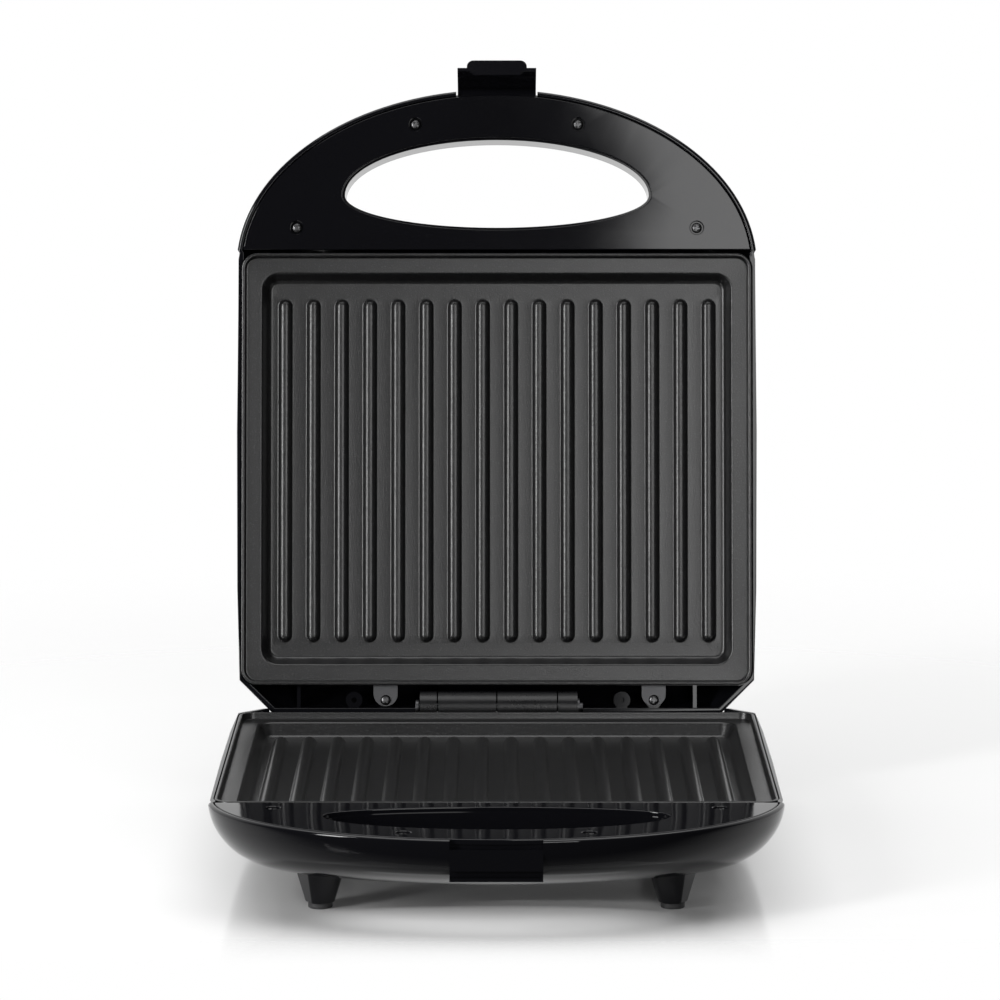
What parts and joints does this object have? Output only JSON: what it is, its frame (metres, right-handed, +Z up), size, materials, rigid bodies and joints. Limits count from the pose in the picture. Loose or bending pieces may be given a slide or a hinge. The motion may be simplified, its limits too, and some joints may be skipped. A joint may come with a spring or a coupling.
{
  "type": "panini press",
  "caption": "Hinged contact grill with ribbed plates, looped handles on both halves, front latch and four feet, standing open.",
  "frame": {"origin": "centre of the bounding box on the table surface, with the lid open", "axes": "+X to the right seen from the handle side, -Y towards the handles, +Z up"},
  "size_m": [0.2784, 0.4112, 0.3912],
  "materials": {
    "black_gloss_shell": "high gloss moulded phenolic",
    "black_gloss_cover": "high gloss moulded cover",
    "nonstick_plate": "dark grey non-stick coating on die-cast aluminium",
    "latch_plastic": "satin moulded plastic",
    "blackened_steel": "blackened screws",
    "zinc_steel": "zinc plated steel",
    "heater_sheath": "oxidised heater sheath",
    "aluminised_sheet": "bright aluminised sheet",
    "wire_sleeve": "glass fibre sleeve",
    "brown_resin": "brown phenolic",
    "white_ceramic": "steatite",
    "black_rubber": "matt rubber",
    "red_lens": "translucent red",
    "green_lens": "translucent green",
    "lamp_glass": "clear glass"
  },
  "bodies": {
    "base": {"base_shell": "black_gloss_shell", "base_handle_cover": "black_gloss_cover", "base_plate": "nonstick_plate", "base_cover_screws": "blackened_steel", "base_tab_screws": "zinc_steel", "base_plate_tabs": "zinc_steel", "base_heater": "heater_sheath", "base_heater_clamps": "zinc_steel", "base_reflector": "aluminised_sheet", "base_reflector_screws": "zinc_steel", "base_wires": "wire_sleeve", "thermostat": "brown_resin", "thermal_fuse": "white_ceramic", "terminal_block": "white_ceramic", "cord_inlet_bush": "black_rubber", "cord_clamp": "latch_plastic", "cord_clamp_screws": "zinc_steel", "front_left_foot_pad": "black_rubber", "front_right_foot_pad": "black_rubber", "rear_left_foot_pad": "black_rubber", "rear_right_foot_pad": "black_rubber", "hinge_pin": "zinc_steel", "hinge_pin_clip": "zinc_steel"},
    "lid": {"lid_shell": "black_gloss_shell", "lid_handle_cover": "black_gloss_cover", "lid_plate": "nonstick_plate", "lid_cover_screws": "blackened_steel", "lid_tab_screws": "zinc_steel", "lid_plate_tabs": "zinc_steel", "lid_heater": "heater_sheath", "lid_heater_clamps": "zinc_steel", "lid_reflector": "aluminised_sheet", "lid_reflector_screws": "zinc_steel", "lid_wires": "wire_sleeve", "power_lamp_lens": "red_lens", "ready_lamp_lens": "green_lens", "neon_lamps": "lamp_glass", "lamp_holder": "wire_sleeve", "latch_pin": "zinc_steel"},
    "latch": {"latch": "latch_plastic"}
  },
  "joints": [
    {"name": "lid_hinge", "type": "hinge", "parent": "base", "child": "lid", "pos_m": [0, 0.12445, 0.0493], "axis": [1, 0, 0], "range_deg": [0, 100.3]},
    {"name": "latch_pivot", "type": "hinge", "parent": "lid", "child": "latch", "pos_m": [0, 0.19088, 0.37009], "axis": [-1, 0, 0], "range_deg": [-20, 75]}
  ]
}
